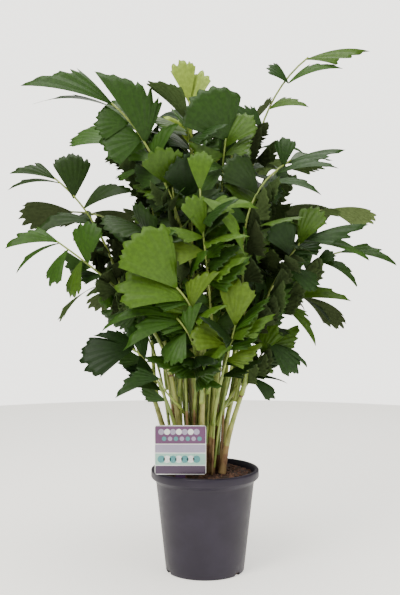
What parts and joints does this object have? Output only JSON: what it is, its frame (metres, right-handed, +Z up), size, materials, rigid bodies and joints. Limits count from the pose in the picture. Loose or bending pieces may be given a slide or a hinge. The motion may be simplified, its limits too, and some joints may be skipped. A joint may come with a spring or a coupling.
{
  "type": "potted clustering fishtail palm",
  "caption": "Bushy clustering palm with ragged fishtail leaflets on many slender canes, standing in a round tapered nursery pot filled with soil, with a plant card on the rim.",
  "frame": {"origin": "centre of the pot's flat underside", "axes": "+Z up, -Y towards the front of the plant as pictured, +X to the right of the picture"},
  "size_m": [0.9211, 0.6699, 1.2335],
  "materials": {
    "pot": "semi-matte",
    "soil": "rough",
    "card": "satin",
    "cane": "satin",
    "leaf": "semi-gloss"
  },
  "bodies": {
    "root": {"pot": "pot", "soil": "soil", "plant_card": "card", "cane_01": "cane", "cane_02": "cane", "cane_03": "cane", "cane_04": "cane", "cane_05": "cane", "cane_06": "cane", "cane_07": "cane", "cane_08": "cane", "cane_09": "cane", "cane_10": "cane", "cane_11": "cane", "cane_12": "cane", "cane_13": "cane", "cane_14": "cane", "cane_15": "cane", "cane_16": "cane", "top_left": "leaf", "left_upper": "leaf", "left_middle": "leaf", "left_front_high": "leaf", "left_front_low": "leaf", "left_bottom": "leaf", "left_lowest": "leaf", "top_right": "leaf", "right_upper": "leaf", "right_middle": "leaf", "right_low": "leaf", "right_bottom": "leaf", "right_lowest": "leaf", "front_right": "leaf", "front_centre": "leaf", "top_centre": "leaf", "new_leaf_left": "leaf", "crown_top_1": "leaf", "crown_top_2": "leaf", "crown_top_3": "leaf", "crown_top_4": "leaf", "crown_high_1": "leaf", "crown_high_2": "leaf", "crown_high_3": "leaf", "crown_high_4": "leaf", "crown_high_5": "leaf", "crown_back_1": "leaf", "crown_back_2": "leaf", "crown_back_3": "leaf", "crown_back_4": "leaf", "crown_back_5": "leaf", "crown_back_6": "leaf", "crown_low_1": "leaf", "crown_low_2": "leaf", "crown_low_3": "leaf", "crown_low_4": "leaf", "crown_low_5": "leaf", "crown_inner_1": "leaf", "crown_inner_2": "leaf"}
  },
  "joints": []
}
